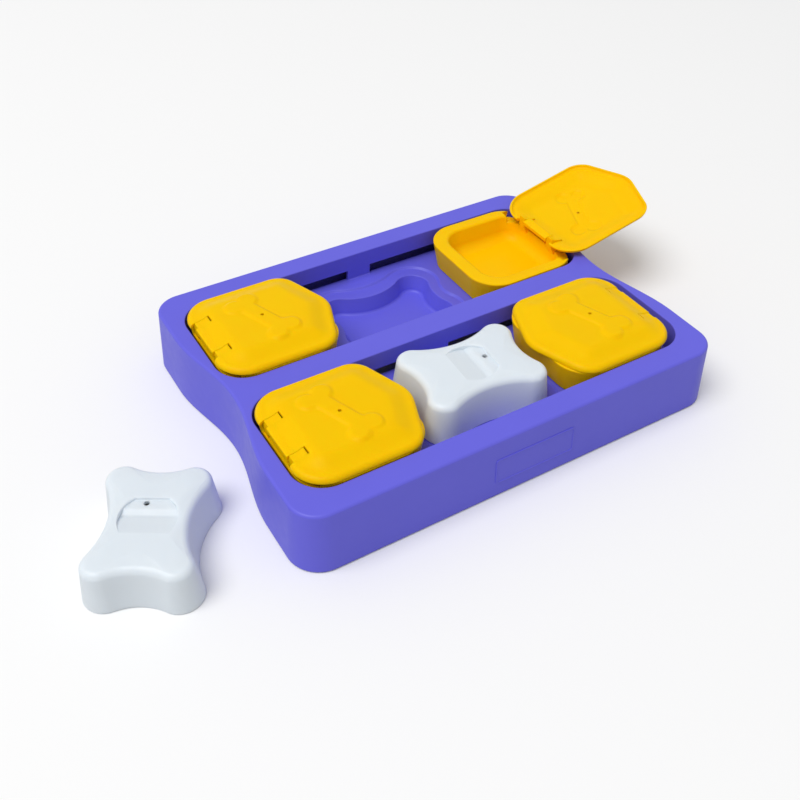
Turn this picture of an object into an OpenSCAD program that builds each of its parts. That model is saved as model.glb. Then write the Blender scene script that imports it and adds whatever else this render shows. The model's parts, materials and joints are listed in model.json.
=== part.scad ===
// Dog puzzle feeder: a two-lane tray with four sliding boxes, their flip lids
// and two lift-out bone blocks that cover the treat wells.
// X runs along the lanes, Y across them, Z up. The origin is on the floor
// under the middle of the tray.

/* [Lanes] */
// Room left along a lane between the bone in its middle and each box
bone_room = 10; // [9.5:0.25:14]
// Width of each lane
lane_w = 92; // [88:0.5:100]
// Depth of the lane floor below the rim
lane_depth = 22; // [20:0.5:24]
// Corner radius of a lane
lane_corner = 22; // [12:0.5:24]
// Width of the bar between the two lanes
divider_w = 20; // [14:0.5:30]

/* [Tray] */
// Height of the rim above the floor
tray_top = 47; // [45:0.5:60]
// Width of the rim beyond each end of the lanes
rim_end = 12; // [8:0.5:20]
// Width of the rim along the outer side of each lane
rim_side = 18; // [12:0.5:26]
// How far each outer wall leans out by its bottom edge
tray_flare = 3; // [1:0.25:5]
// Corner radius of the rim
tray_corner = 19; // [12:0.5:24]
// Rounding of the rim's outer edge
rim_round = 2; // [1:0.25:3]
// Thickness of the tray's walls
tray_wall = 2.6; // [2:0.1:3]
// Depth of the waist drawn into each short end
waist_depth = 10.6; // [6:0.2:11]
// Length of that waist
waist_l = 146; // [110:1:160]
// Height of the guide slots in the lane walls
slot_h = 8.5; // [7:0.25:10]
// Wall left between the left and the right guide slot
slot_bridge = 19.4; // [14:0.2:24]

/* [Treat wells] */
// Half length of the well's opening at its lobes
well_a = 44.6; // [42:0.2:46]
// Half width of the well's opening at its lobes
well_b = 30.8; // [29:0.2:33]
// Radius of the well's lobes
well_r = 13; // [11:0.5:14]
// How far the well's long sides are drawn in
well_nip_b = 10; // [7:0.5:10.5]
// How far the well's ends are drawn in
well_nip_a = 3.6; // [2:0.2:5]
// Depth of the well below the bone's seat
well_depth = 12.5; // [9:0.5:14]
// How far the well's walls lean in by its floor
well_draft = 3.5; // [2:0.25:5]
// Play of a bone on its seat at each end
seat_play_l = 5.5; // [5:0.25:6]
// Play of a bone on its seat at each side
seat_play_w = 3.5; // [3.5:0.25:4]
// Extra radius of the seat's lobes over the bone's
seat_lobe_play = 5.8; // [5.5:0.1:6.5]
// Depth of that seat below the lane floor
seat_depth = 1.5; // [1:0.25:2]
// Width of the sloping lip round the seat
seat_lip = 2.2; // [1:0.2:3]

/* [Boxes] */
// Length of a box along its lane
box_l = 89; // [86:0.5:94]
// Gap between a box's side and the lane wall
box_gap = 1.2; // [0.8:0.1:2]
// Gap between a box's outer end and the end of its lane
box_end_gap = 2.5; // [2:0.25:4]
// Corner radius of a box
box_corner = 24; // [22:0.5:25]
// Corner radius of its bowl
bowl_corner = 16; // [13:0.5:18]
// How far a box's inner end leans back by its bottom edge
box_end_lean = 4; // [2:0.25:8]
// How far its sides and outer end lean in by the bottom edge
box_draft = 1.5; // [1:0.25:2]
// Width of the rim at the sides
box_rim = 10; // [9:0.25:11]
// Width of the rim at the inner end
box_rim_in = 12; // [11:0.25:15]
// Width of the wall at the hinge end
box_rim_out = 6; // [5:0.25:7]
// Thickness of a box's floor and skirt
box_wall = 2.4; // [2:0.1:3]
// Rounding between a box's walls and its floor, inside
bowl_fillet = 9; // [6:0.5:10]
// Length of the guide lug on each side of a box
lug_l = 24; // [16:0.5:30]
// Distance from a box's inner end to the lug
lug_offset = 10; // [9:0.5:14]

/* [Lids] */
// How far a lid's nose reaches past the box's inner end
nose_reach = 6; // [3:0.25:7]
// Radius of the nose
nose_r = 23; // [20:0.5:26]
// How far the slanted edges beside the nose lean back, in degrees
nose_lean = 20; // [16:1:23]
// Corner radius of a lid at the hinge
lid_corner = 21.5; // [21:0.25:22.5]
// Corner radius of a lid between a side and a slanted edge
lid_shoulder = 17; // [15:0.5:19]
// Overhang of a lid at the hinge end
lid_overhang = 1.1; // [0.6:0.1:1.6]
// Rounding of a lid's edge
lid_round = 4; // [3.5:0.25:4.5]
// Height of a lid's crown above that rounding
lid_crown = 4; // [3:0.1:5]
// Width of the slope from the rounding to the flat of the crown
crown_span = 15.5; // [13:0.5:16]
// Thickness of a lid
lid_wall = 1.8; // [1.6:0.1:2.2]
// Gap under a lid's edge when it's shut
lid_gap = 0.3; // [0.2:0.05:0.5]
// Height of the raised bone on a lid
relief_h = 1.4; // [0.8:0.1:1.8]
// Distance between the two ends of that bone
relief_l = 42; // [36:1:44]
// Radius of that bone's lobes
relief_lobe = 8; // [7:0.25:9]
// Width of that bone between its ends
relief_w = 14; // [12:0.5:16]
// Turn of that bone away from the hinge line
relief_turn = 21; // [0:1:30]
// Diameter of the scent hole in a lid
scent_d = 2.4; // [1.5:0.1:4]

/* [Hinges] */
// Distance from a lid's hinge edge to its axis
hinge_in = 7.6; // [7:0.1:8]
// Height of the axis above the box's rim
hinge_up = 3.1; // [2.9:0.05:3.3]
// Distance of each hinge ear from the lane's middle
ear_y = 17.5; // [15:0.25:19]
// Width of an ear
ear_w = 6.4; // [5:0.2:7]
// Length of an ear along the lane
ear_l = 9.5; // [8.5:0.25:10]
// Gap between an ear and its slot in the lid, on each side
ear_gap = 0.4; // [0.3:0.05:0.8]
// Window left open at the inner end of that slot
window_l = 1; // [0.8:0.1:1.6]
// Diameter of a hinge pin
pin_d = 2; // [1.8:0.1:2.2]
// Length of the pin's end in its bore
pin_reach = 3.4; // [2.5:0.1:4]
// Running clearance round a pin
pin_play = 0.08; // [0.05:0.01:0.1]
// Wall round the bore in the lid's barrel
barrel_wall = 1.1; // [1:0.05:1.2]
// How far the lid's edge steps back between the ears
edge_step = 1.6; // [1:0.1:2]

/* [Bones] */
// Half length of a bone at its lobes
bone_a = 46.5; // [45.5:0.25:47]
// Half width of a bone at its lobes
bone_b = 35.5; // [34.5:0.25:36]
// Radius of a bone's lobes
bone_r = 14.2; // [13.6:0.2:15]
// How far a bone's ends are drawn in
bone_nip_a = 4.9; // [4.5:0.1:5.2]
// How far a bone's long sides are drawn in
bone_nip_b = 8; // [7.6:0.1:8.2]
// Height of a bone
bone_h = 30.7; // [26:0.5:34]
// How far a bone's walls lean in by the top
bone_draft = 3; // [2:0.25:4]
// Rounding of a bone's top edge
bone_round = 5; // [3:0.25:6]
// Thickness of a bone's walls
bone_wall = 2.4; // [2:0.1:3]
// Radius of the finger pocket
pocket_r = 17.5; // [15:0.5:19]
// Depth of the finger pocket at its deepest
pocket_depth = 4; // [3:0.25:6]
// Depth of the ledge at its far side
pocket_ledge = 1.8; // [1:0.1:2.5]
// Distance from the bone's middle to the pocket's far wall
pocket_far = 14.5; // [12:0.25:16]
// Distance from the bone's middle to the foot of the step
pocket_step = 3.5; // [1:0.25:6]
// Length of the slope from the pocket's deepest line up to its ledge
pocket_slope = 4; // [2:0.5:5]
// Distance from the bone's middle to the end of the pocket's ramp
pocket_near = 12.5; // [11:0.25:16]
// Diameter of the scent hole in a bone
bone_scent_d = 3.6; // [3:0.2:5]
// Distance from the scent hole's middle to the bone's long axis
bone_scent_side = 3; // [0:0.5:6]
// Distance between the scent hole and the pocket's far wall
scent_edge = 0.8; // [0.5:0.1:2]
// Where the bone lies in the front lane, along it from the middle
bone_shift_x = -3; // [-3:0.25:3]
// Where it lies across the lane, from the lane's middle
bone_shift_y = 0.3; // [-0.3:0.1:0.3]
// How far it's turned from the lane
bone_turn = -3.5; // [-3.5:0.5:3.5]
// Where the second bone lies on the floor, along the lanes
loose_x = -228.5; // [-240:0.5:-222]
// Where it lies on the floor, across the lanes
loose_y = -55; // [-70:0.5:-50]
// How far that one is turned
loose_turn = 58.8; // [50:0.1:70]

/* [Feet] */
// Diameter of a rubber foot
foot_d = 14; // [10:0.5:16]
// How far a foot stands below the tray's edge
foot_proud = 0.8; // [0.6:0.1:1.5]
// Depth of the socket that a foot's stem fills
foot_stem_l = 6; // [4:0.5:8]
// Diameter of that stem
foot_stem_d = 7; // [5:0.5:8]

/* [Pose] */
// How far the front right box is pushed in along its lane
front_right_in = 5.5; // [0:0.5:6]

/* [Hidden] */

purple = "#6f6fe0";
yellow = "#ffcd03";
white = "#e4edf4";
black = "#2a2a2c";

fit = 0.4;          // clearance of a guide lug in its slot, and under a box
seat_gap = 0.1;     // gap under a bone on its seat
eps = 0.5;          // overlap of joined pieces, and overshoot of cuts
relief_lobe_x = 6;  // half the distance between the two lobes of an end
arc_n = 8;          // steps in a quarter turn
$fn = 48;

// places along the height
floor_z = tray_top - lane_depth;
seat_z = floor_z - seat_depth;
well_z = seat_z - well_depth;
box_z = floor_z + fit;
rim_z = tray_top;
lid_z = rim_z + lid_gap;
lid_top = lid_z + lid_round + lid_crown;

// places along and across the lanes
lane_l = 2 * (bone_a + bone_room + box_l + box_end_gap);
lane_y = (divider_w + lane_w) / 2;
half_l = lane_l / 2 + rim_end;
half_w = divider_w / 2 + lane_w + rim_side;
box_w = lane_w / 2 - box_gap;
box_out = lane_l / 2 - box_end_gap;
box_in = box_out - box_l;
lid_out = box_out + lid_overhang;
nose_x = box_in - nose_reach;
relief_c = (box_in + box_out) / 2 + 0.5;

// hinge
axis_x = lid_out - hinge_in;
axis_z = rim_z + hinge_up;
ear_x = axis_x - ear_l / 2 - 0.25;
slot_w = ear_w + 2 * ear_gap;
slot_x = ear_x - window_l;
sweep_r = norm([hinge_in, axis_z - lid_z]);
shelf_z = axis_z - sweep_r - fit;
shelf_x = axis_x - sweep_r - fit;
shelf_w = box_w - lid_corner + sqrt(pow(lid_corner, 2) - pow(lid_corner - hinge_in, 2));
lug_y = box_w - box_draft - box_wall / 2;
lug_w = lane_w / 2 + tray_wall - fit - lug_y;

// ---- outlines: each is one closed ring of points, counter-clockwise ----

function arc(c, r, a0, a1, n) =
    [for (i = [0:n]) let (a = a0 + (a1 - a0) * i / n) c + r * [cos(a), sin(a)]];

// Rectangle from x0 to x1 and as far as w to each side, with round corners.
function round_rect(x0, x1, w, r) = concat(
    arc([x1 - r, w - r], r, 0, 90, arc_n), arc([x0 + r, w - r], r, 90, 180, arc_n),
    arc([x0 + r, r - w], r, 180, 270, arc_n), arc([x1 - r, r - w], r, 270, 360, arc_n));

// Rim of the tray, g outside its top edge, with a waist in both short ends.
function waist(y) = waist_depth * (1 + cos(360 * y / waist_l)) / 2;
function tray_ring(g) = let (
    a = half_l + g, b = half_w + g, r = tray_corner + g,
    end = [for (i = [-arc_n:arc_n]) let (y = waist_l / 2 * i / arc_n) [a - waist(y), y]],
    half = concat(end, arc([a - r, b - r], r, 0, 90, arc_n), arc([r - a, b - r], r, 90, 180, arc_n)))
    concat(half, [for (p = half) -p]);

// Four-lobed bone: lobes of radius r that reach a and b, joined by hollow
// arcs that touch them and are drawn in by nip_a at the ends, nip_b at the sides.
function hollow_r(c, d, r, w) = (c * c + pow(w - d, 2) - r * r) / (2 * (r - w + d));
function bone_ring(a, b, r, nip_a, nip_b) = let (
    cx = a - r, cy = b - r,
    side_r = hollow_r(cx, cy, r, b - nip_b), side_y = b - nip_b + side_r,
    end_r = hollow_r(cy, cx, r, a - nip_a), end_x = a - nip_a + end_r,
    t0 = atan2(-cy, end_x - cx), t1 = atan2(side_y - cy, -cx),
    lobe = arc([cx, cy], r, t0, t1, arc_n + 2),
    side = arc([0, side_y], side_r, t1 + 180, 540 - t1 - 180, 6),
    lobe2 = [for (i = [len(lobe) - 1:-1:0]) [-lobe[i][0], lobe[i][1]]],
    end = arc([-end_x, 0], end_r, -t0, t0, 4),
    half = concat(lobe, inner(side), lobe2, inner(end)))
    concat(half, [for (p = half) -p]);
function inner(pts) = [for (i = [1:len(pts) - 2]) pts[i]];

// Lid, drawn in by d: a rectangle with round corners at the hinge, and at the
// other end two slanted edges that meet in a round nose.
function lid_ring(d) = let (
    r = lid_corner - d, w = box_w - d, sr = max(lid_shoulder - d, 4), nr = max(nose_r - d, 4),
    a = 180 - nose_lean, edge = (nose_x + nose_r) * cos(a) + nose_r - d,
    n = [(edge - nr) / cos(a), 0], c = [(edge - sr - (w - sr) * sin(a)) / cos(a), w - sr],
    top = concat(arc([lid_out - d - r, w - r], r, 0, 90, arc_n), arc(c, sr, 90, a, 5)),
    nose = arc(n, nr, a, 360 - a, 6))
    concat(top, nose, [for (i = [len(top) - 1:-1:1]) [top[i][0], -top[i][1]]]);

// Height of a lid's top surface above its edge, at a distance d inside its outline.
crown_in = lid_round + crown_span;
function lid_rise(d) = d < lid_round
    ? sqrt(pow(lid_round, 2) - pow(lid_round - d, 2))
    : lid_round + lid_crown * (1 - cos(180 * min(1, (d - lid_round) / crown_span))) / 2;

// A lid falls open until what faces down of it is this close to the tray's rim.
relief_x = relief_c + relief_l / 2 * sin(relief_turn) + relief_lobe_x * cos(relief_turn) + relief_lobe;
lid_tops = concat([for (d = [0:0.5:crown_in + 8]) [lid_out - d - axis_x, lid_z + lid_rise(d) - axis_z]],
                  [[relief_x - relief_h - axis_x, lid_top + relief_h - axis_z]]);
function over_rim(a) = min([for (p = lid_tops) let (x = p[0] * cos(a) + p[1] * sin(a))
    if (axis_x + x > lane_l / 2 - 0.5) axis_z + p[1] * cos(a) - p[0] * sin(a)]) - rim_z;
open_angle = max([for (a = [150:0.5:175]) if (over_rim(a) >= lid_gap) a]);

// How near the inner end of an ear's slot comes to the axis as the lid swings.
ear_sweep = norm([axis_x - slot_x, lid_z + lid_rise(lid_out - slot_x) - lid_wall - axis_z]) - 0.75 * fit;

// Solid through rings of equal length, given as [ring, z], and closed at both
// ends by a fan about the point mid.
module loft(rings, mid = [0, 0]) {
    n = len(rings[0][0]);
    m = len(rings);
    points = concat(
        [for (r = rings) each [for (p = r[0]) [p[0], p[1], r[1]]]],
        [[mid[0], mid[1], rings[0][1]], [mid[0], mid[1], rings[m - 1][1]]]);
    walls = [for (k = [0:m - 2]) for (i = [0:n - 1])
        let (j = (i + 1) % n, a = k * n)
        each [[a + i, a + n + i, a + n + j], [a + i, a + n + j, a + j]]];
    ends = [for (i = [0:n - 1]) let (j = (i + 1) % n, a = (m - 1) * n)
        each [[m * n, i, j], [m * n + 1, a + j, a + i]]];
    polyhedron(points, concat(walls, ends), convexity = 8);
}

// ---- tray ----

module lane_shape(grow = 0) {
    r = lane_corner + grow;
    l = lane_l / 2 + grow - r;
    w = lane_w / 2 + grow - r;
    for (x = [-l, l], y = [-w, w]) translate([x, y]) circle(r);
    square([2 * (l + r), 2 * w], center = true);
    square([2 * l, 2 * (w + r)], center = true);
}

module well(grow = 0, over = 0) {
    a = well_a + grow;
    b = well_b + grow;
    r = well_r + grow;
    f = 3;
    loft([[bone_ring(a - well_draft - f, b - well_draft - f, r - well_draft, well_nip_a, well_nip_b),
           well_z - grow],
          [bone_ring(a - well_draft, b - well_draft, r - well_draft + 1, well_nip_a, well_nip_b),
           well_z - grow + f],
          [bone_ring(a, b, r, well_nip_a, well_nip_b), seat_z + over]]);
}

module seat() {
    lip = (eps + seat_depth) * seat_lip / seat_depth;
    function ring(g) = bone_ring(bone_a + seat_play_l + g, bone_b + seat_play_w + g,
                                 bone_r + seat_lobe_play + g, bone_nip_a - fit, bone_nip_b - fit / 2);
    loft([[ring(0), seat_z], [ring(lip), floor_z + eps]]);
}

foot_x = half_l - tray_corner;
foot_y = half_w - tray_corner;
boss_d = foot_d + 5;

// The moulded shell: outer skin, two lanes with their wells and slots, and
// everything between the skin and the lanes open from below.
module tray() {
    slot_end = box_in + lug_offset + lug_l + fit;
    slot_l = slot_end - slot_bridge / 2;
    color(purple) difference() {
        loft([[tray_ring(tray_flare), foot_proud],
              [tray_ring(tray_flare * rim_round / tray_top), tray_top - rim_round],
              [tray_ring(-rim_round * (1 - cos(45))), tray_top - rim_round * (1 - sin(45))],
              [tray_ring(-rim_round), tray_top]]);
        difference() {
            loft([[tray_ring(tray_flare - tray_wall), foot_proud - eps],
                  [tray_ring(-tray_wall), tray_top - tray_wall]]);
            for (y = [-lane_y, lane_y]) translate([0, y, 0]) {
                translate([0, 0, floor_z - tray_wall])
                    linear_extrude(lane_depth + 2 * tray_wall) lane_shape(tray_wall);
                well(tray_wall, eps);
            }
            for (x = [-foot_x, foot_x], y = [-foot_y, foot_y])
                translate([x, y, foot_proud]) cylinder(d = boss_d, h = tray_top);
            for (x = [-lane_l / 4, 0, lane_l / 4])
                translate([x - 1, -divider_w / 2, floor_z - tray_wall]) cube([2, divider_w, tray_top]);
        }
        for (y = [-lane_y, lane_y]) translate([0, y, 0]) {
            translate([0, 0, floor_z]) linear_extrude(lane_depth + eps) lane_shape();
            seat();
            well(0, eps);
            for (side = [-1, 1], end = [0, 180]) rotate([0, 0, end])
                translate([slot_bridge / 2, side * (lane_w + tray_wall) / 2 - tray_wall / 2 - eps, floor_z])
                    cube([slot_l, tray_wall + 2 * eps, slot_h]);
        }
        for (x = [-foot_x, foot_x], y = [-foot_y, foot_y]) translate([x, y, 0]) {
            translate([0, 0, -eps]) cylinder(d = foot_d, h = eps + foot_proud + 2);
            cylinder(d = foot_stem_d, h = foot_proud + 2 + foot_stem_l);
        }
    }
}

// A rubber foot: a pad in its recess and a stem pressed into the boss.
module foot(x, y) {
    color(black) translate([x * foot_x, y * foot_y, 0]) {
        rotate_extrude() polygon([[0, 0], [foot_d / 2 - 1, 0], [foot_d / 2, 0.6], [foot_d / 2, foot_proud + 2],
                                  [foot_stem_d / 2, foot_proud + 2], [foot_stem_d / 2, foot_proud + 1 + foot_stem_l],
                                  [foot_stem_d / 2 - 1, foot_proud + 2 + foot_stem_l],
                                  [0, foot_proud + 2 + foot_stem_l]]);
    }
}

// ---- one compartment, drawn at the right-hand end of a lane ----

module box() {
    bottom = round_rect(box_in + box_end_lean, box_out - box_draft, box_w - box_draft, box_corner - box_draft);
    function rim(d) = round_rect(box_in + d, box_out - d, box_w - d, box_corner - d);
    function bowl(d) = round_rect(box_in + box_rim_in + d * 1.4, box_out - box_rim_out - d,
                                  box_w - box_rim - d, bowl_corner - d);
    bowl_z = box_z + box_wall;
    mid = [(box_in + box_out) / 2, 0];
    color(yellow) {
        difference() {
            union() {
                loft([[bottom, box_z], [rim(0), rim_z - 1], [rim(0.3), rim_z - 0.3], [rim(1), rim_z],
                      [bowl(-1.2), rim_z], [bowl(-0.4), rim_z - 0.4], [bowl(0), rim_z - 1.2],
                      [bowl(2), bowl_z + bowl_fillet],
                      [bowl(2 + bowl_fillet * (1 - cos(35))), bowl_z + bowl_fillet * (1 - sin(35))],
                      [bowl(2 + bowl_fillet * (1 - cos(65))), bowl_z + bowl_fillet * (1 - sin(65))],
                      [bowl(2 + bowl_fillet), bowl_z]], mid);
                for (side = [0, 1]) mirror([0, side, 0])
                    translate([box_in + lug_offset, lug_y, box_z]) cube([lug_l, lug_w, slot_h - 2 * fit]);
            }
            translate([shelf_x, -shelf_w, shelf_z]) cube([box_l, 2 * shelf_w, box_l]);
            underside();
        }
        for (side = [-1, 1]) translate([0, side * ear_y, 0]) {
            translate([0, ear_w / 2, 0]) rotate([90, 0, 0]) linear_extrude(ear_w) ear_profile();
            translate([axis_x, -side * ear_w / 2, axis_z]) rotate([side * 90, 0, 0])
                translate([0, 0, -1]) cylinder(d = pin_d, h = pin_reach + 1);
        }
    }
}

// The channel between a box's skirt and its bowl, open from below.
module underside() {
    x0 = box_in + box_end_lean + box_wall;
    x1 = box_out - box_draft - box_wall;
    w = box_w - box_draft - box_wall;
    bowl_x0 = box_in + box_rim_in - box_wall;
    bowl_x1 = box_out - box_rim_out + box_wall;
    bowl_w = box_w - box_rim + box_wall;
    translate([0, 0, box_z - eps]) linear_extrude(shelf_z - box_z - box_wall + eps) difference() {
        plan(x0, x1, w, box_corner - box_draft - box_wall);
        plan(bowl_x0, bowl_x1, bowl_w, bowl_corner + box_wall);
    }
    translate([0, 0, box_z]) linear_extrude(rim_z - box_z - box_wall) difference() {
        plan(x0, x1, w, box_corner - box_draft - box_wall);
        plan(bowl_x0, bowl_x1 + box_l, bowl_w, bowl_corner + box_wall);
        translate([shelf_x - box_wall, -box_l]) square(2 * box_l);
    }
}

module plan(x0, x1, w, r) {
    for (x = [x0 + r, x1 - r], y = [r - w, w - r]) translate([x, y]) circle(r);
    translate([x0, r - w]) square([x1 - x0, 2 * (w - r)]);
    translate([x0 + r, -w]) square([x1 - x0 - 2 * r, 2 * w]);
}

// Side view of an ear: it grows from the low end wall and its top follows the lid.
module ear_profile() {
    foot_x0 = box_out - box_rim_out;
    polygon(concat(
        [[box_out - box_draft, shelf_z - 1], [box_out - box_draft, lid_z + 1], [ear_x + ear_l, lid_z + 2]],
        [for (i = [0:6]) let (x = ear_x + ear_l - ear_l * i / 6) [x, min(lid_z + lid_rise(lid_out - x) - 0.2,
            axis_z + sqrt(max(0, pow(ear_sweep, 2) - pow(x - axis_x, 2))))]],
        [[ear_x, rim_z - 1], [foot_x0 - 1, shelf_z - 4], [foot_x0 + 1, shelf_z - 5]]));
}

// All that lies between two heights, to cut a loft's ends to flat faces.
module between(z0, z1) {
    translate([nose_x - eps, -box_w - eps, z0]) cube([lid_out - nose_x + 2 * eps, 2 * (box_w + eps), z1 - z0]);
}

// A lid, shut. Its shell, raised bone, hinge barrel and slots for the ears.
module lid_shape() {
    mid = [relief_c, 0];
    r_in = lid_round - lid_wall;
    function slope(t) = [for (k = [0:0.2:0.9])
        [lid_ring(lid_round + k * crown_span), lid_z + lid_rise(lid_round + k * crown_span) - t]];
    difference() {
        union() {
            difference() {
                intersection() {
                    loft(concat([[lid_ring(0), lid_z - eps], [lid_ring(0), lid_z + 0.3]],
                                [for (a = [30, 60]) [lid_ring(lid_round * (1 - cos(a))), lid_z + lid_round * sin(a)]],
                                slope(0), [[lid_ring(crown_in), lid_top + 0.1]]), mid);
                    between(lid_z, lid_top);
                }
                intersection() {
                    loft(concat([[lid_ring(lid_wall), lid_z - eps], [lid_ring(lid_wall), lid_z + 0.3],
                                 [lid_ring(lid_wall + r_in * (1 - cos(45))), lid_z + r_in * sin(45)]],
                                slope(lid_wall), [[lid_ring(crown_in), lid_top - lid_wall + 0.1]]), mid);
                    between(lid_z - 2 * eps, lid_top - lid_wall);
                }
            }
            relief(0, lid_top - 1.2, 1.2 + relief_h);
            intersection() {
                translate([axis_x, ear_y, axis_z]) rotate([90, 0, 0])
                    cylinder(d = pin_d + 2 * barrel_wall, h = 2 * ear_y);
                translate([0, -ear_y, 0]) cube([2 * axis_x, 2 * ear_y, lid_z + lid_rise(hinge_in)]);
            }
            translate([axis_x + 1, -ear_y, lid_z]) cube([hinge_in - edge_step - 1, 2 * ear_y, lid_round * sin(40)]);
        }
        for (side = [-1, 1]) translate([axis_x, side * ear_y, 0]) {
            translate([slot_x - axis_x, -slot_w / 2, lid_z - 2]) cube([box_l, slot_w, lid_top]);
            translate([0, -side * ear_w / 2, axis_z]) rotate([side * 90, 0, 0])
                cylinder(d = pin_d + 2 * pin_play, h = pin_reach + ear_gap);
        }
        translate([lid_out - edge_step, -ear_y, lid_z - 2]) cube([box_l, 2 * ear_y, lid_top]);
        relief(lid_wall, lid_top - lid_wall - eps, eps + relief_h);
        relief_mid() cylinder(d = scent_d, h = lid_top * 2);
    }
}

module relief_mid() {
    translate([relief_c, 0, 0]) rotate([0, 0, relief_turn]) children();
}

// Dog bone with two lobes at each end, drawn in by g, from z up to h above it.
// It's raised on the lid, and the lid's underside follows it.
module relief(g, z, h) {
    r = relief_lobe - g;
    w = relief_w / 2 - g;
    lean = g > 0 ? 0.5 : relief_h;
    translate([0, 0, z]) relief_mid() {
        for (y = [-1, 1], x = [-1, 1]) translate([x * relief_lobe_x, y * relief_l / 2, 0])
            cylinder(r1 = r + h - relief_h, r2 = r - lean, h = h);
        rotate([90, 0, 0]) translate([0, 0, -relief_l / 2]) linear_extrude(relief_l)
            polygon([[relief_h - w - h, 0], [w + h - relief_h, 0], [w - lean, h], [lean - w, h]]);
    }
}

module lid(angle = 0) {
    color(yellow) translate([axis_x, 0, axis_z]) rotate([0, angle, 0])
        translate([-axis_x, 0, -axis_z]) lid_shape();
}

// Puts a compartment at its end of its lane, pushed in by the amount given.
module place(lane, right, pushed = 0) {
    translate([(right ? -1 : 1) * pushed, lane * lane_y, 0]) rotate([0, 0, right ? 0 : 180]) children();
}

// ---- bone block ----

module bone() {
    top = bone_h;
    function ring(d) = bone_ring(bone_a - d, bone_b - d, bone_r - min(d, 6), bone_nip_a, bone_nip_b);
    shoulder = bone_h - bone_round - 0.8;
    t = bone_wall;
    color(white) difference() {
        union() {
            loft([[ring(bone_draft + bone_round + t), top - 0.8 - t],
                  [ring(bone_draft + t), shoulder - t / 2],
                  [ring(t), 0], [ring(0.6), 0], [ring(0), 0.8],
                  [ring(bone_draft), shoulder],
                  [ring(bone_draft + bone_round * (1 - cos(30))), shoulder + bone_round * sin(30)],
                  [ring(bone_draft + bone_round * (1 - cos(60))), shoulder + bone_round * sin(60)],
                  [ring(bone_draft + bone_round), shoulder + bone_round],
                  [ring(bone_draft + bone_round + 9), top]]);
            intersection() {
                translate([0, 0, top - pocket_depth - t]) cylinder(r = pocket_r + t, h = pocket_depth + t - 0.5);
                pocket_wedge(t, top - 1);
            }
        }
        intersection() {
            translate([0, 0, top - pocket_depth - 1]) cylinder(r = pocket_r, h = pocket_depth + 2);
            pocket_wedge(0, top + 1);
        }
        translate([pocket_far - bone_scent_d / 2 - scent_edge, bone_scent_side, 0]) cylinder(d = bone_scent_d, h = top);
    }
}

// Side view of the pocket: a ledge on the far side, a step down, and a ramp
// that rises to the near side.
module pocket_wedge(t, z) {
    ledge_z = bone_h - pocket_ledge - t;
    rotate([90, 0, 0]) translate([0, 0, -pocket_r - t]) linear_extrude(2 * (pocket_r + t))
        polygon([[pocket_far + t, z], [pocket_far + t, ledge_z], [pocket_step + pocket_slope, ledge_z],
                 [pocket_step, bone_h - pocket_depth - t], [-pocket_near - t, bone_h - t],
                 [-pocket_near - t, z]]);
}

tray();
place(-1, false) box();  // box_front_left
place(-1, true, front_right_in) box();  // box_front_right
place(1, false) box();  // box_back_left
place(1, true) box();  // box_back_right
place(-1, false) lid();  // lid_front_left
place(-1, true, front_right_in) lid();  // lid_front_right
place(1, false) lid();  // lid_back_left
place(1, true) lid(open_angle);  // lid_back_right
translate([bone_shift_x, bone_shift_y - lane_y, seat_z + seat_gap]) rotate([0, 0, bone_turn]) bone();  // bone_seated
translate([loose_x, loose_y, 0]) rotate([0, 0, loose_turn]) bone();  // bone_loose
foot(-1, -1);  // foot_front_left
foot(1, -1);  // foot_front_right
foot(-1, 1);  // foot_back_left
foot(1, 1);  // foot_back_right
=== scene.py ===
# %% [markdown]
# # A dog's puzzle feeder
# The toy is a purple tray with two lanes. In each lane two yellow boxes slide, each under a domed flip
# lid, and a white bone block covers a treat well. Apart from its rubber feet, all of it is taken to be
# injection-moulded polypropylene. So this lesson is about one thing: how to give thin moulded shells their
# soft edges, their hollow undersides and their quiet satin shine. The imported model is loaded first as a
# fixed frame, and every piece is then built in its place.

# %% Load the frame
import json
import math

import bmesh
import bpy
from mathutils import Matrix, Vector

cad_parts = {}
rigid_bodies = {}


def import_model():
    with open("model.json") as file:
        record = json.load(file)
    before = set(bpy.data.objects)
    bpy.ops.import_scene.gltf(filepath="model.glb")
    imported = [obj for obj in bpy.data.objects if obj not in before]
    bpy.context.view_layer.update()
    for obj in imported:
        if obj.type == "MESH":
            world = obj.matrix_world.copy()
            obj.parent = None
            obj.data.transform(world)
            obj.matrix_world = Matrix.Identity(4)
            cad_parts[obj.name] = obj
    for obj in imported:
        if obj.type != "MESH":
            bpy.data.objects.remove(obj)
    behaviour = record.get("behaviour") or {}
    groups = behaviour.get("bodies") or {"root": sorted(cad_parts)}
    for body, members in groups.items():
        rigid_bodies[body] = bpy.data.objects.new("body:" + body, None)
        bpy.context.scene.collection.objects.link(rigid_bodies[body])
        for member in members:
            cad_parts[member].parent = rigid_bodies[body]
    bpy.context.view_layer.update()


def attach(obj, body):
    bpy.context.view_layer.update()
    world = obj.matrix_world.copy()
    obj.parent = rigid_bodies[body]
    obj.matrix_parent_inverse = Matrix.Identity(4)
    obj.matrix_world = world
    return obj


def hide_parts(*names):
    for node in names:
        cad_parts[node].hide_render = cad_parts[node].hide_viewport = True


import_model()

# %% [markdown]
# The camera comes next, because it decides how fine each surface has to be. It looks down at about 42
# degrees from the front left. Its place was found by fitting the tray's corners, so it's given as a place,
# a direction and a small roll. One pixel of the 800 by 800 picture is about 0.7 mm on the tray.

# %% Camera
FOCAL_MM = 42.634
CAMERA_AT = Vector((-0.29514, -0.43648, 0.45354))
CAMERA_RIGHT = Vector((0.85643, -0.51600, 0.01650))
CAMERA_UP = Vector((0.33701, 0.58300, 0.73928))

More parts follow.
